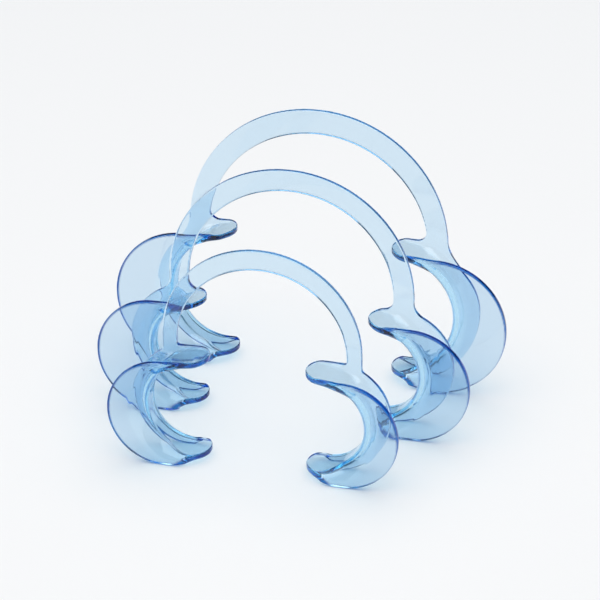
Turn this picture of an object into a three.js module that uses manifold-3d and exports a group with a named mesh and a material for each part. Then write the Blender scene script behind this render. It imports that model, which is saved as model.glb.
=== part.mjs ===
// A set of three one-piece cheek retractors (small, medium and large), each a C-shaped bow of
// clear plastic that carries a lip holder at each end. The set stands upright, one behind another.
//
// Frame: millimetres, +Z up, +X to the wearer's right, +Y forwards, away from the mouth. The bows lie in
// planes square to Y and share the middle plane X = 0. The origin is on the resting plane, under the
// middle of the set.
//
// Each retractor is one springy moulding. Its bow flexes mostly at the crown, so the model is cut
// there into a left and a right half that turn about one hinge line through the crown.

import * as THREE from 'three';
import { mergeVertices } from 'three/addons/utils/BufferGeometryUtils.js';
import Module from 'manifold-3d';

// ---- Driving dimensions (mm) ------------------------------------------------------------------

const WALL = 1.8; // thickness of the bow, the flanges and the web
const DEPTH = 14; // mouth-side face of the inner flange to the outer face of the bow
const SPACING = 32; // from one retractor to the next, front to back
const FOOT_HALF = 2.5; // half length of the flat that each flange stands on

// Plan shape of the tongues, which end each web: a long sweep on the mouth side, a short one outside.
const TIP_DEPTH = 8.5; // from the mouth-side face to the very tip
const TIP_MOUTH_SWEEP = 11;
const TIP_OUTER_SWEEP = 4;

// Half of the gap between the two halves of a bow: at the hinge line, and at both edges of the bow.
const GAP_HALF = 0.15;
const GAP_HALF_OUTER_EDGE = 0.25;
const GAP_HALF_INNER_EDGE = 0.5;

const CURVE_SEGMENTS = 7; // each arc becomes twice as many straight steps
const BEND_SEGMENTS = 2;
const CLEAR = 1; // how far a cutting solid runs past what it cuts

const CLEAR_BLUE = { color: 0x9fcdec, roughness: 0.08, metalness: 0 };

// Reaches are measured sideways from the middle plane, heights from the resting plane. A flange's
// round edge is a circle above its middle height, and below it an ellipse that comes down to the feet.
const SIZES = [
  {
    name: 'small',
    row: -1,
    bow: { outerRadius: 30.2, outerCentre: 37, innerRadius: 25.8, innerCentre: 35.3 },
    mouthFlange: { radius: 16.9, height: 16.9, reach: 44 },
    outerFlange: { radius: 16.9, height: 17, reach: 39 },
    web: { radius: 16.2, reach: 34.6, height: 17.7 },
    tipReach: 14.7,
    shoulderFillet: 0.8,
    armpitFillet: 0.8,
  },
  {
    name: 'medium',
    row: 0,
    bow: { outerRadius: 38.2, outerCentre: 40.5, innerRadius: 32, innerCentre: 40.1 },
    mouthFlange: { radius: 18.3, height: 18.3, reach: 58.1 },
    outerFlange: { radius: 18, height: 18.9, reach: 50.8 },
    web: { radius: 17.3, reach: 43.3, height: 19.1 },
    tipReach: 25.4,
    shoulderFillet: 3,
    armpitFillet: 2.5,
  },
  {
    name: 'large',
    row: 1,
    bow: { outerRadius: 41.4, outerCentre: 43.6, innerRadius: 35.2, innerCentre: 42.1 },
    mouthFlange: { radius: 22.2, height: 22.2, reach: 62.6 },
    outerFlange: { radius: 18.6, height: 22.4, reach: 52 },
    web: { radius: 21.4, reach: 46.8, height: 23.6 },
    tipReach: 25,
    shoulderFillet: 6,
    armpitFillet: 3.5,
  },
];

// ---- Solids -----------------------------------------------------------------------------------

const wasm = await Module();
wasm.setup();

function solid(geometry) {
  const bare = geometry.clone();
  bare.deleteAttribute('normal');
  bare.deleteAttribute('uv');
  const merged = mergeVertices(bare, 1e-4);
  const vertProperties = new Float32Array(merged.attributes.position.array);
  const triVerts = new Uint32Array(merged.index.array);
  return new wasm.Manifold(new wasm.Mesh({ numProp: 3, vertProperties, triVerts }));
}

function toGeometry(manifold) {
  const mesh = manifold.getMesh();
  const geometry = new THREE.BufferGeometry();
  geometry.setAttribute('position', new THREE.BufferAttribute(mesh.vertProperties, 3));
  geometry.setIndex(new THREE.BufferAttribute(mesh.triVerts, 1));
  geometry.computeVertexNormals();
  return geometry;
}

// A mirrored copy across the middle plane X = 0, with its faces turned to point out again.
function mirrored(geometry) {
  const copy = geometry.clone().scale(-1, 1, 1);
  const index = copy.index.array;
  for (let i = 0; i < index.length; i += 3) {
    [index[i + 1], index[i + 2]] = [index[i + 2], index[i + 1]];
  }
  copy.computeVertexNormals();
  return copy;
}

// A shape drawn in X and Z becomes a plate that fills Y from front to back.
function plate(shape, front, back) {
  const options = { depth: back - front, bevelEnabled: false, curveSegments: CURVE_SEGMENTS };
  return solid(new THREE.ExtrudeGeometry(shape, options).rotateX(Math.PI / 2).translate(0, back, 0));
}

// A shape drawn in X and Y becomes a column from bottom to top.
function column(shape, bottom, top) {
  const options = { depth: top - bottom, bevelEnabled: false, curveSegments: CURVE_SEGMENTS };
  return solid(new THREE.ExtrudeGeometry(shape, options).translate(0, 0, bottom));
}

// ---- Outlines ---------------------------------------------------------------------------------

const RIGHT = 0;
const UP = Math.PI / 2;
const DOWN = -Math.PI / 2;
const LEFT = Math.PI;

function webOf(size) {
  const { radius, reach, height } = size.web;
  const inner = radius - WALL;
  return {
    radius,
    inner,
    x: reach - radius,
    z: height,
    top: height + radius,
    bottom: height - radius,
  };
}

// The round edge of a flange, from its top round to the end of the flat that it stands on.
function edgeOf(flange) {
  const { radius, height, reach } = flange;
  const footAngle = -Math.acos(FOOT_HALF / radius);
  return { radius, x: reach - radius, z: height, drop: height / Math.sin(-footAngle), footAngle };
}

function traceEdge(shape, edge, startAngle) {
  shape.absarc(edge.x, edge.z, edge.radius, startAngle, RIGHT, true);
  shape.absellipse(edge.x, edge.z, edge.radius, edge.drop, RIGHT, edge.footAngle, true);
}

// The C-shaped floor of the lip channel, straight along each tongue.
function webShape(size) {
  const web = webOf(size);
  const end = size.tipReach - CLEAR;
  const shape = new THREE.Shape();
  shape.moveTo(end, web.top);
  shape.lineTo(web.x, web.top);
  shape.absarc(web.x, web.z, web.radius, UP, DOWN, true);
  shape.lineTo(end, web.bottom);
  shape.lineTo(end, web.z - web.inner);
  shape.lineTo(web.x, web.z - web.inner);
  shape.absarc(web.x, web.z, web.inner, DOWN, UP, false);
  shape.lineTo(end, web.z + web.inner);
  return shape;
}

// From the foot of a flange back along the inside of the web, up to the web's top.
function closeAlongWeb(shape, size, edge) {
  const web = webOf(size);
  shape.lineTo(edge.x - FOOT_HALF, 0);
  shape.lineTo(web.x, web.bottom);
  shape.lineTo(web.x, web.z - web.inner);
  shape.absarc(web.x, web.z, web.inner, DOWN, UP, false);
  shape.lineTo(web.x, web.top);
}

// The large flange that sits inside the cheek.
function mouthFlangeShape(size) {
  const web = webOf(size);
  const edge = edgeOf(size.mouthFlange);
  const shape = new THREE.Shape();
  shape.moveTo(web.x, web.top);
  shape.lineTo(edge.x, edge.z + edge.radius);
  traceEdge(shape, edge, UP);
  closeAlongWeb(shape, size, edge);
  return shape;
}

// The bow and the smaller flange outside the lips, which are one flat plate.
function bowShape(size) {
  const web = webOf(size);
  const edge = edgeOf(size.outerFlange);
  const { outerRadius, outerCentre, innerRadius, innerCentre } = size.bow;
  const fillet = size.shoulderFillet;
  const armpit = size.armpitFillet;
  // The shoulder fillet touches the bow's outer side and the flange's round edge.
  const across = outerRadius + fillet - edge.x;
  const rise = Math.sqrt((edge.radius + fillet) ** 2 - across ** 2);
  const touch = Math.atan2(rise, across);
  const shape = new THREE.Shape();
  shape.moveTo(0, outerCentre + outerRadius);
  shape.absarc(0, outerCentre, outerRadius, UP, RIGHT, true);
  shape.lineTo(outerRadius, edge.z + rise);
  shape.absarc(outerRadius + fillet, edge.z + rise, fillet, LEFT, LEFT + touch, false);
  traceEdge(shape, edge, touch);
  closeAlongWeb(shape, size, edge);
  shape.lineTo(innerRadius - armpit, web.top);
  shape.absarc(innerRadius - armpit, web.top + armpit, armpit, DOWN, RIGHT, false);
  shape.lineTo(innerRadius, innerCentre);
  shape.absarc(0, innerCentre, innerRadius, RIGHT, UP, false);
  return shape;
}

// Everything beyond the rounded ends of the tongues, seen from above.
function tipWasteShape(size) {
  const tip = size.tipReach;
  const shape = new THREE.Shape();
  shape.moveTo(tip + TIP_MOUTH_SWEEP, -CLEAR);
  shape.lineTo(tip + TIP_MOUTH_SWEEP, 0);
  shape.absellipse(tip + TIP_MOUTH_SWEEP, TIP_DEPTH, TIP_MOUTH_SWEEP, TIP_DEPTH, DOWN, -LEFT, true);
  shape.absellipse(tip + TIP_OUTER_SWEEP, TIP_DEPTH, TIP_OUTER_SWEEP, DEPTH - TIP_DEPTH, LEFT, UP, true);
  shape.lineTo(tip + TIP_OUTER_SWEEP, DEPTH + CLEAR);
  shape.lineTo(tip - 2 * CLEAR, DEPTH + CLEAR);
  shape.lineTo(tip - 2 * CLEAR, -CLEAR);
  return shape;
}

// What is missing from the corner where the web turns into a flange, in depth and distance from the
// web's middle. The inner face turns round the sharp outer corner, so the wall stays even.
function bendWasteShape(web) {
  const shape = new THREE.Shape();
  shape.moveTo(web.inner - CLEAR, -CLEAR);
  shape.lineTo(web.radius, -CLEAR);
  shape.lineTo(web.radius, 0);
  shape.absarc(web.radius, WALL, WALL, DOWN, -LEFT, true);
  shape.lineTo(web.inner - CLEAR, WALL);
  return shape;
}

// The gap at the crown. It opens towards the inner edge of the bow, so that the halves can be
// squeezed together without touching.
function crownGapShape(size) {
  const { outerRadius, outerCentre, innerRadius, innerCentre } = size.bow;
  const outerEdge = outerCentre + outerRadius;
  const innerEdge = innerCentre + innerRadius;
  const hinge = (outerEdge + innerEdge) / 2;
  const shape = new THREE.Shape();
  shape.moveTo(-CLEAR, outerEdge + CLEAR);
  shape.lineTo(GAP_HALF_OUTER_EDGE, outerEdge + CLEAR);
  shape.lineTo(GAP_HALF_OUTER_EDGE, outerEdge);
  shape.lineTo(GAP_HALF, hinge);
  shape.lineTo(GAP_HALF_INNER_EDGE, innerEdge);
  shape.lineTo(GAP_HALF_INNER_EDGE, innerEdge - CLEAR);
  shape.lineTo(-CLEAR, innerEdge - CLEAR);
  return shape;
}

// The waste of the mouth-side bend, straight along both tongues and round the web between them.
function bendWaste(size) {
  const web = webOf(size);
  const shape = bendWasteShape(web);
  const outline = shape.getPoints(BEND_SEGMENTS);
  const ring = new THREE.LatheGeometry([...outline, outline[0]], 4 * CURVE_SEGMENTS);
  const round = solid(ring.translate(web.x, 0, web.z));
  const half = solid(new THREE.BoxGeometry(web.radius, DEPTH, 2 * web.radius + 2 * CLEAR))
    .translate(web.x + web.radius / 2, 0, web.z);
  const start = size.tipReach - CLEAR;
  const options = { depth: web.x - start, bevelEnabled: false, curveSegments: BEND_SEGMENTS };
  const bar = solid(new THREE.ExtrudeGeometry(shape, options));
  // distance from the web's middle becomes height, and the bar's length runs along X
  const top = bar.transform([0, 0, 1, 0, 0, 1, 0, 0, 1, 0, 0, 0, start, 0, web.z, 1]);
  const bottom = top.mirror([0, 0, 1]).translate(0, 0, 2 * web.z);
  return round.intersect(half).add(top).add(bottom);
}

// ---- Assembly ---------------------------------------------------------------------------------

// The half on the +X side, with its mouth-side face at Y = 0.
function rightHalf(size) {
  const web = webOf(size);
  const bend = bendWaste(size);
  return plate(webShape(size), 0, DEPTH)
    .add(plate(mouthFlangeShape(size), 0, WALL))
    .add(plate(bowShape(size), DEPTH - WALL, DEPTH))
    .subtract(bend)
    .subtract(bend.mirror([0, 1, 0]).translate(0, DEPTH, 0))
    .subtract(column(tipWasteShape(size), -CLEAR, web.top + CLEAR / 2))
    .subtract(plate(crownGapShape(size), -CLEAR, DEPTH + CLEAR));
}

function named(name, geometry) {
  const mesh = new THREE.Mesh(geometry, new THREE.MeshStandardMaterial(CLEAR_BLUE));
  mesh.name = name;
  return mesh;
}

function retractor(size) {
  const right = toGeometry(rightHalf(size));
  const pair = new THREE.Group();
  pair.add(named(`${size.name}_right_half`, right));
  pair.add(named(`${size.name}_left_half`, mirrored(right)));
  pair.position.y = size.row * SPACING - DEPTH / 2;
  return pair;
}

const set = new THREE.Group();
for (const size of SIZES) {
  set.add(retractor(size));
}

export default set;
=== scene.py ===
# The looks of a set of three clear blue cheek retractors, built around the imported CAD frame.
#
# Each retractor is one smooth moulded mesh, taken from a distance field in millimetres. The field's
# frame has x sideways from the middle plane, y from the mouth-side face and z up from the floor.

import itertools
import math

import bpy
import numpy as np
from mathutils import Matrix, Vector


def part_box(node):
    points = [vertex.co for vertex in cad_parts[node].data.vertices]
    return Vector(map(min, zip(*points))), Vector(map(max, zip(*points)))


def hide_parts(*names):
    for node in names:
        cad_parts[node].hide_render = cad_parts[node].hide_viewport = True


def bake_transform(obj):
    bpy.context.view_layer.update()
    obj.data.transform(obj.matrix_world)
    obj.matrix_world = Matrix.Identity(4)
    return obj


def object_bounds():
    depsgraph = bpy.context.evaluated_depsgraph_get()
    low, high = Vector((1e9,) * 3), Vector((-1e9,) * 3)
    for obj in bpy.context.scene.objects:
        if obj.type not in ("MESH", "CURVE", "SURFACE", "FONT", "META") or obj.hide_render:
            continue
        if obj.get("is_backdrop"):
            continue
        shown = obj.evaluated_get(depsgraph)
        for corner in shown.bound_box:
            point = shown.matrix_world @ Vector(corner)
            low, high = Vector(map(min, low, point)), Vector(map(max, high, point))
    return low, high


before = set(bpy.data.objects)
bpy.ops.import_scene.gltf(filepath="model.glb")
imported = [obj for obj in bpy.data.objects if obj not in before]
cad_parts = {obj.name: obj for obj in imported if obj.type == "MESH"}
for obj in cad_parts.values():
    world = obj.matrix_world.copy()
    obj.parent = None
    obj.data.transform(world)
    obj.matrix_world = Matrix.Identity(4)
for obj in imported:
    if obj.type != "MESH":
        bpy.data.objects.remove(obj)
frame_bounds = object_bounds()

MM = 0.001

# ---- Dimensions of the mouldings (mm) ---------------------------------------------------------

WALL = 1.8
DEPTH = 14.0
FOOT_HALF = 2.5

TIP_DEPTH = 8.5
TIP_MOUTH_SWEEP = 11.0
TIP_OUTER_SWEEP = 4.0
ABOVE_TONGUE = 1.0  # from here on up, only the bow is left

EDGE_ROUND = 0.35  # rounding of every outer edge
FOOT_ROUND = 0.4  # rounding of the ends of each foot
BEND = 4.7  # middle radius of the bends between the web and a wide flange
BEND_AT_LEG = 3.5  # the same, under a leg of the bow
TIGHT_BEND = 0.3  # the smallest bend, where a flange stands out no further than the web
BEND_PER_WIDTH = 0.7  # a narrow outer flange has a smaller bend
MOUTH_BEND_EXTRA = 0.7  # a narrow mouth flange's bend is this much more than its width
LEG_FADE = 4.0  # the bend under a leg comes in over this length towards the leg
LEG_RISE = 8.0  # and over this height above the web's middle

FLARE = 0.9  # how far the mouth side of a tongue turns out beyond the web
FLARE_ANGLE = math.radians(35)
FLARE_LENGTH = 3.0  # from the end of a tongue
FLARE_FADE = 6.0  # beyond that, the flare turns into the whole bend over this length
FLARE_OFF = 12.0  # how far off the end of the flare is put where there is none

# Painted shade: the rims, and a band beside each mouth flange's rim, get a navy base colour that
# stands in for the dark deep blue of light led along the plates.
RIM_FADE = 0.5  # the painted navy shade comes in over this depth below the edge of the sheet
OUTER_RIM_INSET = 0.2  # on the outer side it starts this deep
OUTER_RIM_SHARE = 0.9  # and is a little weaker
BAND = 0.3  # width of the band of painted navy shade beside a mouth flange's rim, at its foot
BAND_GROWTH = 0.45  # how much wider the painted band is at the top
BAND_FROM = 0.4  # it widens from this share of the web's height
BAND_OVER = 0.8  # over this share of the web's height
BAND_FADE = 0.35
BAND_LEAST_WIDTH = 2.0  # a flange narrower than this has no band, and over twice this a full one

CELL = 0.35  # spacing of the grid that the meshes are taken from
COARSE = 4  # the field is first looked at on every fourth grid point
NEAR = 1.2  # how many coarse cells from the surface the field is worked out in full
PROJECTIONS = 3  # how often each vertex is moved onto the exact surface
SLOPE_STEP = 0.02  # the field's slope is taken over twice this length
LEAST_SLOPE = 0.5  # a flatter field than this moves its vertices no further

# Flanges are given as (radius of the round edge, its middle height, reach from the middle plane).
SIZES = {
    "small": {
        "bow_outer": (30.2, 37.0),
        "bow_inner": (25.8, 35.3),
        "mouth_flange": (16.9, 16.9, 44.0),
        "outer_flange": (16.9, 17.0, 39.0),
        "web": (16.2, 17.7, 34.6),
        "tip": 14.7,
        "shoulder": 0.8,
        "armpit": 0.8,
    },
    "medium": {
        "bow_outer": (38.2, 40.5),
        "bow_inner": (32.0, 40.1),
        "mouth_flange": (18.3, 18.3, 58.1),
        "outer_flange": (18.0, 18.9, 50.8),
        "web": (17.3, 19.1, 43.3),
        "tip": 25.4,
        "shoulder": 3.0,
        "armpit": 2.5,
    },
    "large": {
        "bow_outer": (41.4, 43.6),
        "bow_inner": (35.2, 42.1),
        "mouth_flange": (22.2, 22.2, 62.6),
        "outer_flange": (18.6, 22.4, 52.0),
        "web": (21.4, 23.6, 46.8),
        "tip": 25.0,
        "shoulder": 6.0,
        "armpit": 3.5,
    },
}

# ---- Distance fields --------------------------------------------------------------------------


def join(a, b, radius):
    """Union of two fields with a round fillet in the inner corner."""
    reach = np.hypot(np.maximum(radius - a, 0), np.maximum(radius - b, 0))
    return np.maximum(radius, np.minimum(a, b)) - reach


def cut(a, b, radius):
    """Intersection of two fields with a rounded outer edge."""
    return -join(-a, -b, radius)


def ellipse(u, v, a, b):
    """Distance to an ellipse about the origin, exact on its edge and close beside it."""
    k = np.hypot(u / a, v / b)
    slope = np.hypot(u / a**2, v / b**2)
    return k * (k - 1) / np.maximum(slope, 1e-9)


def smoothstep(t):
    t = np.clip(t, 0, 1)
    return t * t * (3 - 2 * t)


def flange_area(x, z, flange, web, flare=0.0):
    """Outline of a flange: a circle above its middle height and an ellipse below, on a small foot."""
    radius, height, reach = flange
    web_radius, web_height, web_reach = web
    centre = reach - radius
    web_x = web_reach - web_radius
    drop = height / math.sqrt(1 - (FOOT_HALF / radius) ** 2)
    beside = np.maximum(x - centre, 0)
    above = np.hypot(beside, z - height) - radius
    below = ellipse(beside, z - height, radius, drop)
    # towards the tongues the outline runs on to the top and the bottom of the web
    way = smoothstep((centre - x) / (centre - web_x))
    above = above - way * (web_height + web_radius + flare - height - radius)
    below = below + way * (web_height - web_radius - flare - height + drop)
    return cut(np.where(z > height, above, below), -z, FOOT_ROUND)


def plan_area(x, y, z, size):
    """Outline seen from above: both outer faces, and the rounded ends of the tongues."""
    tip = size["tip"]
    web_radius, web_height, _ = size["web"]
    mouth_side = ellipse(
        np.maximum(tip + TIP_MOUTH_SWEEP - x, 0), y - TIP_DEPTH, TIP_MOUTH_SWEEP, TIP_DEPTH
    )
    outer_side = ellipse(
        np.maximum(tip + TIP_OUTER_SWEEP - x, 0),
        y - TIP_DEPTH,
        TIP_OUTER_SWEEP,
        DEPTH - TIP_DEPTH,
    )
    tongues = np.where(y < TIP_DEPTH, mouth_side, outer_side)
    bow = np.abs(y - DEPTH / 2) - DEPTH / 2
    return np.where(z > web_height + web_radius + ABOVE_TONGUE, bow, tongues)


def bow_band(x, z, size):
    """The arch and its straight legs."""
    outer_radius, outer_centre = size["bow_outer"]
    inner_radius, inner_centre = size["bow_inner"]
    outer = np.hypot(x, np.maximum(z - outer_centre, 0)) - outer_radius
    inner = np.hypot(x, np.maximum(z - inner_centre, 0)) - inner_radius
    return np.maximum(np.maximum(outer, -inner), size["outer_flange"][1] - z)


def trough(out, y, mouth_bend, outer_bend, tongue):
    """A sheet of even thickness that comes in, turns along the web and runs out again.

    On a tongue only the first part of the mouth-side bend is left, as a flare."""
    half = WALL / 2
    mouth_side = y < DEPTH / 2
    bend = np.where(mouth_side, mouth_bend + tongue * (BEND - mouth_bend), outer_bend)
    shift = np.where(mouth_side, tongue * (half + bend) * (1 - math.sin(FLARE_ANGLE)), 0)
    u = half - out + bend
    v = np.abs(y - DEPTH / 2) - (DEPTH / 2 - half) + bend - shift
    strip = np.hypot(np.maximum(u, 0), np.maximum(v, 0)) + np.minimum(np.maximum(u, v), 0) - bend
    end = v * math.cos(FLARE_ANGLE) - u * math.sin(FLARE_ANGLE) - FLARE_OFF * (1 - tongue)
    return np.abs(strip) - half, np.where(mouth_side, end, -DEPTH)


def outer_area(x, z, size):
    """Outline of the outer plate: the bow, the flange under it and the top of the tongue."""
    web_radius, web_height, _ = size["web"]
    disc = flange_area(x, z, size["outer_flange"], size["web"])
    leg = bow_band(x, z, size)
    leg_middle = (size["bow_outer"][0] + size["bow_inner"][0]) / 2
    block = np.maximum(np.maximum(x - leg_middle, z - web_height - web_radius), web_height - z)
    return np.minimum(join(leg, disc, size["shoulder"]), join(leg, block, size["armpit"]))


def holder(p, size):
    """The web, the bent sheet, its end and its outline, and how wide the mouth flange is, in mm."""
    x, y, z = np.abs(p[..., 0]), p[..., 1], p[..., 2]
    web_radius, web_height, web_reach = size["web"]
    web_x = web_reach - web_radius
    inner = web_radius - WALL
    beside = np.maximum(x - web_x, 0)
    from_axis = np.maximum(np.hypot(beside, z - web_height), 1e-6)
    out = from_axis - inner
    web = np.abs(out - WALL / 2) - WALL / 2

    # how far each flange stands out beyond the web, seen from the nearest place on the web
    foot_x = np.minimum(x, web_x) + inner * beside / from_axis
    foot_z = web_height + inner * (z - web_height) / from_axis
    mouth_width = -flange_area(foot_x, foot_z, size["mouth_flange"], size["web"], FLARE) - WALL
    outer_width = -flange_area(foot_x, foot_z, size["outer_flange"], size["web"]) - WALL
    mouth_bend = np.clip(mouth_width + MOUTH_BEND_EXTRA, TIGHT_BEND, BEND)
    tongue = 1 - smoothstep((foot_x - size["tip"] - FLARE_LENGTH) / FLARE_FADE)
    under_leg = smoothstep((foot_x - size["bow_inner"][0] + size["armpit"]) / LEG_FADE)
    under_leg = BEND_AT_LEG * under_leg * smoothstep((foot_z - web_height) / LEG_RISE)
    outer_bend = np.clip(BEND_PER_WIDTH * outer_width, TIGHT_BEND, BEND)
    outer_bend = np.maximum(outer_bend, under_leg)

    sheet, end = trough(out, y, mouth_bend, outer_bend, tongue)
    area = np.where(
        y < DEPTH / 2,
        flange_area(x, z, size["mouth_flange"], size["web"], FLARE),
        outer_area(x, z, size),
    )
    return web, sheet, end, area, mouth_width


def moulding(p, size):
    """The field of one retractor: negative inside, in mm."""
    web, sheet, end, area, _ = holder(p, size)
    body = cut(sheet, np.minimum(web - EDGE_ROUND, area), EDGE_ROUND)
    body = np.maximum(body, np.minimum(web, area))
    body = cut(body, end, EDGE_ROUND)
    return cut(body, plan_area(np.abs(p[..., 0]), p[..., 1], p[..., 2], size), EDGE_ROUND)


def painted_rim_shade_share(p, size):
    """How much painted navy shade each point of the surface gets on the rims, from 0 to 1."""
    _, sheet, _, area, mouth_width = holder(p, size)
    mouth = p[..., 1] < DEPTH / 2
    painted_rim_shade = smoothstep((-sheet - np.where(mouth, 0, OUTER_RIM_INSET)) / RIM_FADE)
    painted_rim_shade = painted_rim_shade * np.where(mouth, 1, OUTER_RIM_SHARE)
    height = p[..., 2] / size["web"][1]
    # the painted navy band beside a mouth flange's rim widens towards the top
    band = BAND + BAND_GROWTH * smoothstep((height - BAND_FROM) / BAND_OVER)
    beside = smoothstep((area + band) / BAND_FADE)
    beside = beside * smoothstep((mouth_width - BAND_LEAST_WIDTH) / BAND_LEAST_WIDTH)
    return np.maximum(painted_rim_shade, np.where(mouth, beside, 0))


# ---- Meshes -----------------------------------------------------------------------------------


def surface_net(values, origin, cell):
    """Vertices and quads of the zero surface of a field on a regular grid."""
    inside = values < 0
    counts = [n - 1 for n in values.shape]
    total = np.zeros(counts + [3])
    crossings = np.zeros(counts)
    corner_sum = np.zeros(counts, int)
    for corner in itertools.product((0, 1), repeat=3):
        where = tuple(slice(c, c + n) for c, n in zip(corner, counts))
        corner_sum += inside[where]
    for axis in range(3):
        for other in itertools.product((0, 1), repeat=2):
            start = list(other)
            start.insert(axis, 0)
            end = list(other)
            end.insert(axis, 1)
            a = values[tuple(slice(c, c + n) for c, n in zip(start, counts))]
            b = values[tuple(slice(c, c + n) for c, n in zip(end, counts))]
            crossed = (a < 0) != (b < 0)
            share = np.where(crossed, a / np.where(crossed, a - b, 1), 0)
            for k in range(3):
                total[..., k] += np.where(crossed, share if k == axis else start[k], 0)
            crossings += crossed
    mixed = (corner_sum > 0) & (corner_sum < 8)
    cells = np.argwhere(mixed)
    vertices = (cells + total[mixed] / crossings[mixed][:, None]) * cell + origin
    index = np.full(counts, -1)
    index[mixed] = np.arange(len(cells))
    quads = []
    for axis in range(3):
        order = (axis, (axis + 1) % 3, (axis + 2) % 3)
        side = inside.transpose(order)
        number = index.transpose(order)
        low, high = side[:-1, 1:-1, 1:-1], side[1:, 1:-1, 1:-1]
        i, j, k = np.nonzero(low != high)
        ring = np.stack(
            [number[i, j, k], number[i, j + 1, k], number[i, j + 1, k + 1], number[i, j, k + 1]], 1
        )
        inward = high[i, j, k]
        ring[inward] = ring[inward][:, ::-1]
        quads.append(ring)
    return vertices, np.vstack(quads)


def sampled(field, axes):
    """The field on a grid, worked out in full only near the surface."""
    coarse_axes = [a[::COARSE] for a in axes]
    coarse = field(np.stack(np.meshgrid(*coarse_axes, indexing="ij"), -1))
    spread = coarse
    for axis in range(3):
        spread = np.repeat(spread, COARSE, axis)
    shape = tuple(len(a) for a in axes)
    # each coarse value speaks for the points around it
    half = COARSE // 2
    spread = np.pad(spread, half, mode="edge")[tuple(slice(COARSE, COARSE + n) for n in shape)]
    values = np.where(spread < 0, -1.0, 1.0)
    near = np.argwhere(np.abs(spread) < NEAR * COARSE * CELL)
    points = np.stack([a[near[:, k]] for k, a in enumerate(axes)], -1)
    values[tuple(near.T)] = field(points)
    return values


def gradient(field, points):
    """Slope of a field at each point, by central differences."""
    parts = []
    for axis in range(3):
        move = np.zeros(3)
        move[axis] = SLOPE_STEP
        parts.append((field(points + move) - field(points - move)) / (2 * SLOPE_STEP))
    return np.stack(parts, -1)


def retractor_mesh(name, size, front):
    """One retractor as a closed mesh, its mouth-side face at y = front (m)."""

    def field(points):
        return moulding(points, size)

    margin = 2 * CELL
    reach = size["mouth_flange"][2] + margin
    crown = sum(size["bow_outer"]) + margin
    half = math.ceil(reach / CELL) * CELL
    # the grid is level with the middle plane, so that both sides of the mesh match
    axes = [
        np.arange(-half, half + CELL / 2, CELL),
        np.arange(-margin, DEPTH + margin, CELL),
        np.arange(-margin, crown, CELL),
    ]
    values = sampled(field, axes)
    vertices, quads = surface_net(values, np.array([a[0] for a in axes]), CELL)
    for _ in range(PROJECTIONS):
        slope = gradient(field, vertices)
        length = np.maximum((slope**2).sum(-1), LEAST_SLOPE**2)
        move = slope * (field(vertices) / length)[:, None]
        vertices = vertices - np.clip(move, -CELL / 2, CELL / 2)
    slope = gradient(field, vertices)
    normals = slope / np.linalg.norm(slope, axis=-1, keepdims=True)
    # painted shade: how much navy rim colour each vertex gets, kept as a mesh attribute
    painted_rim_shades = painted_rim_shade_share(vertices, size)
    vertices = vertices * MM + np.array([0, front, 0])
    mesh = bpy.data.meshes.new(name)
    mesh.from_pydata(vertices.tolist(), [], quads.tolist())
    mesh.shade_smooth()
    mesh.normals_split_custom_set_from_vertices(normals.tolist())
    mesh.attributes.new("painted_rim_shade", "FLOAT", "POINT").data.foreach_set("value", painted_rim_shades)
    piece = bpy.data.objects.new(name, mesh)
    bpy.context.scene.collection.objects.link(piece)
    return piece


# ---- Materials --------------------------------------------------------------------------------

FACE_COLOUR = (0.843, 0.885, 0.955, 1)
# painted shade: the navy colour of the rims
PAINTED_RIM_SHADE_COLOUR = (0, 0.05, 0.34, 1)
DEPTH_COLOUR = (0.2, 0.8, 1, 1)
DEPTH_DENSITY = 140  # per metre of the way through the plastic
SHADOW_COLOUR = (0.63, 0.66, 0.68, 1)  # what a lamp's light keeps at each face
PLASTIC_IOR = 1.5
WAVINESS = 0.06
WAVE_HEIGHT = 0.002
WAVES_PER_METRE = 60
WEAR_PER_METRE = 160
ROUGHEST = 0.06


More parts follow.
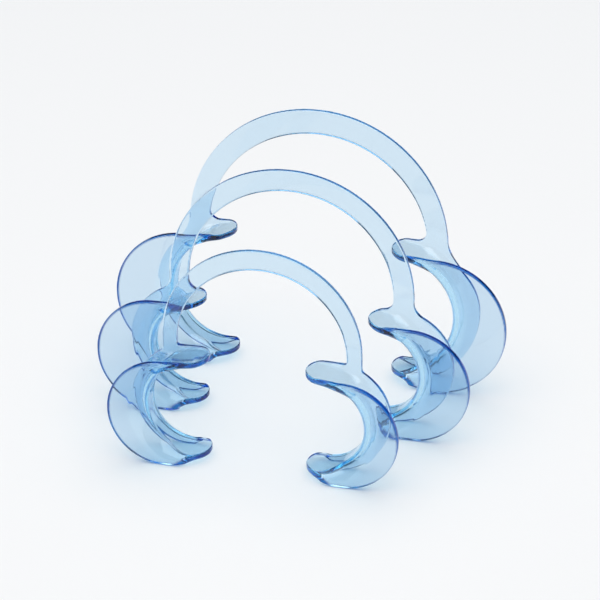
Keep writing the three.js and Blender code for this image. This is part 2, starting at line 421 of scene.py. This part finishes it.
def clear_blue_plastic():
    """Clear tinted plastic: the longer the way through it, the deeper the blue; its rims carry
    painted navy shade.
    """
    material = bpy.data.materials.new("clear_blue_plastic")
    material.use_nodes = True
    nodes, links = material.node_tree.nodes, material.node_tree.links
    shader = nodes["Principled BSDF"]
    shader.inputs["Transmission Weight"].default_value = 1
    shader.inputs["IOR"].default_value = PLASTIC_IOR

    # painted shade: the rims get a navy base colour, standing in for the deep blue of the light led
    # along the plates
    painted_rim_shade = nodes.new("ShaderNodeAttribute")
    painted_rim_shade.attribute_name = "painted_rim_shade"
    colour = nodes.new("ShaderNodeMix")
    colour.data_type = "RGBA"
    colour.inputs["A"].default_value = FACE_COLOUR
    colour.inputs["B"].default_value = PAINTED_RIM_SHADE_COLOUR
    links.new(painted_rim_shade.outputs["Fac"], colour.inputs["Factor"])
    links.new(colour.outputs["Result"], shader.inputs["Base Color"])

    coordinates = nodes.new("ShaderNodeTexCoord")
    flow = nodes.new("ShaderNodeTexNoise")
    flow.inputs["Scale"].default_value = WAVES_PER_METRE
    flow.inputs["Detail"].default_value = 1
    bump = nodes.new("ShaderNodeBump")
    bump.inputs["Strength"].default_value = WAVINESS
    bump.inputs["Distance"].default_value = WAVE_HEIGHT
    links.new(coordinates.outputs["Object"], flow.inputs["Vector"])
    links.new(flow.outputs["Fac"], bump.inputs["Height"])
    links.new(bump.outputs["Normal"], shader.inputs["Normal"])

    wear = nodes.new("ShaderNodeTexNoise")
    wear.inputs["Scale"].default_value = WEAR_PER_METRE
    wear.inputs["Detail"].default_value = 4
    gloss = nodes.new("ShaderNodeMapRange")
    gloss.inputs["To Min"].default_value = 0.0
    gloss.inputs["To Max"].default_value = ROUGHEST
    links.new(coordinates.outputs["Object"], wear.inputs["Vector"])
    links.new(wear.outputs["Fac"], gloss.inputs["Value"])
    links.new(gloss.outputs["Result"], shader.inputs["Roughness"])

    tint = nodes.new("ShaderNodeVolumeAbsorption")
    tint.inputs["Color"].default_value = DEPTH_COLOUR
    tint.inputs["Density"].default_value = DEPTH_DENSITY
    links.new(tint.outputs["Volume"], nodes["Material Output"].inputs["Volume"])

    # lamps shine through the plastic, so that it throws only a faint blue shadow
    path = nodes.new("ShaderNodeLightPath")
    through = nodes.new("ShaderNodeBsdfTransparent")
    through.inputs["Color"].default_value = SHADOW_COLOUR
    lit = nodes.new("ShaderNodeMixShader")
    links.new(path.outputs["Is Shadow Ray"], lit.inputs[0])
    links.new(shader.outputs["BSDF"], lit.inputs[1])
    links.new(through.outputs["BSDF"], lit.inputs[2])
    links.new(lit.outputs["Shader"], nodes["Material Output"].inputs["Surface"])
    return material


def pale_floor():
    material = bpy.data.materials.new("pale_floor")
    material.use_nodes = True
    shader = material.node_tree.nodes["Principled BSDF"]
    shader.inputs["Base Color"].default_value = (0.86, 0.86, 0.86, 1)
    shader.inputs["Roughness"].default_value = 0.6
    shader.inputs["Specular IOR Level"].default_value = 0.2
    return material


# ---- The object -------------------------------------------------------------------------------

plastic = clear_blue_plastic()
for name, size in SIZES.items():
    low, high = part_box(f"{name}_right_half")
    piece = retractor_mesh(f"{name}_retractor", size, low.y)
    piece.data.materials.append(plastic)
    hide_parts(f"{name}_left_half", f"{name}_right_half")
    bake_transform(piece)

# ---- Floor, light and camera ------------------------------------------------------------------

FLOOR_HALF = 3.0
FLOOR_DROP = 0.0002  # keeps the floor clear of the feet
SKY_COLOUR = (0.35, 0.65, 1, 1)
SKY_STRENGTH = 0.16
LAMP_HEIGHT = 1.6
LAMP_SIZE = 3.5
LAMP_POWER = 58
LAMP_COLOUR = (1, 0.965, 0.925)


def floor():
    mesh = bpy.data.meshes.new("floor")
    h = FLOOR_HALF
    mesh.from_pydata([(-h, -h, 0), (h, -h, 0), (h, h, 0), (-h, h, 0)], [], [(0, 1, 2, 3)])
    mesh.materials.append(pale_floor())
    thing = bpy.data.objects.new("floor", mesh)
    thing.location.z = -FLOOR_DROP
    bpy.context.scene.collection.objects.link(thing)
    thing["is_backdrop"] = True


def softbox(name, place, aim, size, power, colour):
    light = bpy.data.lights.new(name, "AREA")
    light.shape = "DISK"
    light.size = size
    light.energy = power
    light.color = colour
    lamp = bpy.data.objects.new(name, light)
    lamp.location = place
    lamp.rotation_mode = "QUATERNION"
    lamp.rotation_quaternion = (Vector(aim) - Vector(place)).to_track_quat("-Z", "Y")
    bpy.context.scene.collection.objects.link(lamp)


def studio():
    world = bpy.data.worlds.new("studio")
    world.use_nodes = True
    background = world.node_tree.nodes["Background"]
    background.inputs["Color"].default_value = SKY_COLOUR
    background.inputs["Strength"].default_value = SKY_STRENGTH
    bpy.context.scene.world = world
    softbox("overhead", (0, 0, LAMP_HEIGHT), (0, 0, 0), LAMP_SIZE, LAMP_POWER, LAMP_COLOUR)


# solved from the perspective of the photograph
CAMERA_PLACE = (0.19285, -0.67574, 0.39067)
CAMERA_ANGLES = (15.567, 26.594, -0.657)  # round to the right, down and rolled, in degrees
CAMERA_LENS = 157.45
CAMERA_SENSOR = 36


def camera():
    azimuth, down, roll = (math.radians(a) for a in CAMERA_ANGLES)
    forward = Vector(
        (
            -math.sin(azimuth) * math.cos(down),
            math.cos(azimuth) * math.cos(down),
            -math.sin(down),
        )
    )
    level = forward.cross(Vector((0, 0, 1))).normalized()
    upright = level.cross(forward)
    right = level * math.cos(roll) + upright * math.sin(roll)
    up = upright * math.cos(roll) - level * math.sin(roll)
    data = bpy.data.cameras.new("camera")
    data.sensor_width = CAMERA_SENSOR
    data.lens = CAMERA_LENS
    data.clip_start, data.clip_end = 0.05, 20
    eye = bpy.data.objects.new("camera", data)
    turn = Matrix((right, up, -forward)).transposed().to_4x4()
    eye.matrix_world = Matrix.Translation(CAMERA_PLACE) @ turn
    bpy.context.scene.collection.objects.link(eye)
    bpy.context.scene.camera = eye


floor()
studio()
camera()

scene = bpy.context.scene
scene.view_settings.view_transform = "Standard"
scene.cycles.max_bounces = 32
scene.cycles.transmission_bounces = 32
scene.cycles.glossy_bounces = 16
scene.cycles.transparent_max_bounces = 32

boxes = {"frame": frame_bounds, "shown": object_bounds()}
{name: [list(corner) for corner in pair] for name, pair in boxes.items()}
